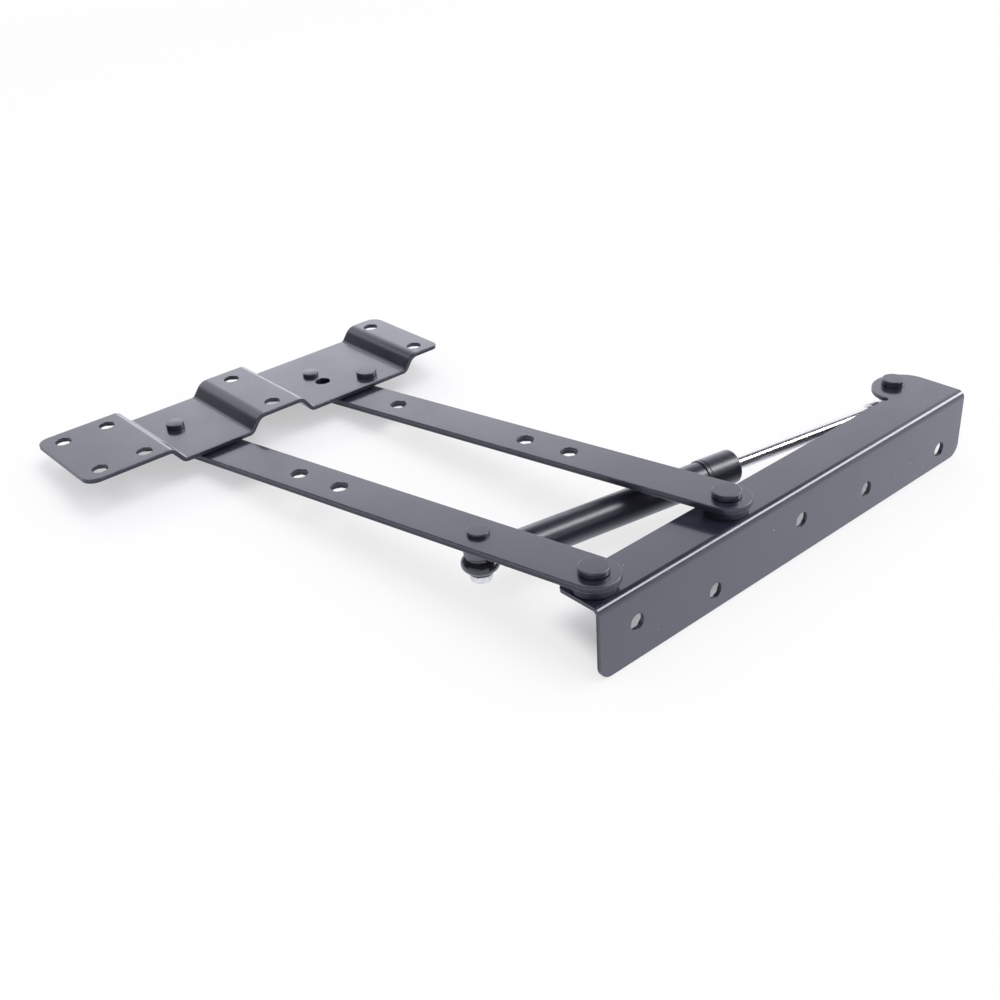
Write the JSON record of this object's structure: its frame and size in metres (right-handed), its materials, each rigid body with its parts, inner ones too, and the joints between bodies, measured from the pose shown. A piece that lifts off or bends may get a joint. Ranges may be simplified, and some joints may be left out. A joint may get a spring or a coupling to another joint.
{
  "type": "lift top table mechanism",
  "caption": "Lift top table mechanism: an angle bracket, two parallel arms and a stepped top plate, raised by a small gas spring.",
  "frame": {"origin": "on the bracket's mounting face, at the mouth of the third screw hole from the near end", "axes": "+X along the bracket from the near base pivot to the gas spring's ear, +Y from the mounting face towards the raised arms, +Z across the linkage, up as the part lies in the picture"},
  "size_m": [0.3396, 0.2557, 0.0491],
  "materials": {
    "black_steel": "satin black powder coat on pressed sheet steel",
    "black_rivet": "satin black coated steel rivets",
    "black_plastic": "matt black nylon",
    "grey_plastic": "plain grey moulded plastic",
    "zinc_steel": "bright zinc plate",
    "gloss_tube": "gloss black enamel",
    "eye_plastic": "glossy black moulded plastic",
    "sintered_bronze": "sintered bronze",
    "seal_rubber": "black nitrile rubber",
    "chrome_rod": "polished hard chrome"
  },
  "bodies": {
    "base": {"base_bracket": "black_steel", "near_base_pivot": "black_rivet", "far_base_pivot": "black_rivet", "near_base_washer": "black_plastic", "far_base_washer": "black_plastic", "ear_rivet": "black_rivet"},
    "near_arm": {"near_arm": "black_steel", "spring_stud": "black_rivet", "stud_spacer": "grey_plastic", "stud_nut": "zinc_steel"},
    "far_arm": {"far_arm": "black_steel"},
    "top_plate": {"top_plate": "black_steel", "near_plate_pivot": "black_rivet", "far_plate_pivot": "black_rivet", "near_plate_washer": "black_plastic", "far_plate_washer": "black_plastic", "stop_pin": "black_rivet"},
    "gas_tube": {"spring_tube": "gloss_tube", "tube_end_eye": "eye_plastic", "rod_cap": "gloss_tube", "rod_guide": "sintered_bronze", "rod_seal": "seal_rubber"},
    "gas_rod": {"spring_rod": "chrome_rod", "piston": "sintered_bronze", "piston_ring": "seal_rubber", "rod_end_eye": "zinc_steel", "ear_stud": "zinc_steel", "ear_spacer": "grey_plastic", "ear_nut": "zinc_steel"}
  },
  "joints": [
    {"name": "near_arm_swing", "type": "hinge", "parent": "base", "child": "near_arm", "pos_m": [-0.11, 0.012, 0.0193], "axis": [0, 0, 1], "range_deg": [-83, 0], "stiffness_Nm_per_rad": 0.4, "springref_deg": 143.24},
    {"name": "far_arm_swing", "type": "hinge", "parent": "base", "child": "far_arm", "pos_m": [-0.035, 0.012, 0.0193], "axis": [0, 0, 1], "range_deg": [-83, 0]},
    {"name": "plate_turn", "type": "hinge", "parent": "near_arm", "child": "top_plate", "pos_m": [-0.16106, 0.23318, 0.0231], "axis": [0, 0, 1], "range_deg": [0, 83]},
    {"name": "spring_turn", "type": "hinge", "parent": "near_arm", "child": "gas_tube", "pos_m": [-0.12192, 0.06364, 0.0087], "axis": [0, 0, 1], "range_deg": [0, 91.3]},
    {"name": "rod_slide", "type": "slide", "parent": "gas_tube", "child": "gas_rod", "axis": [0.9885, -0.1503, -0.0182], "range_m": [-0.0644, 0]}
  ],
  "couplings": [
    {"joint": "far_arm_swing", "follows": "near_arm_swing", "ratio": 1},
    {"joint": "plate_turn", "follows": "near_arm_swing", "ratio": -1},
    {"joint": "spring_turn", "follows": "near_arm_swing", "ratio": -1.0991},
    {"joint": "rod_slide", "follows": "near_arm_swing", "m_per_rad": 0.044428}
  ]
}
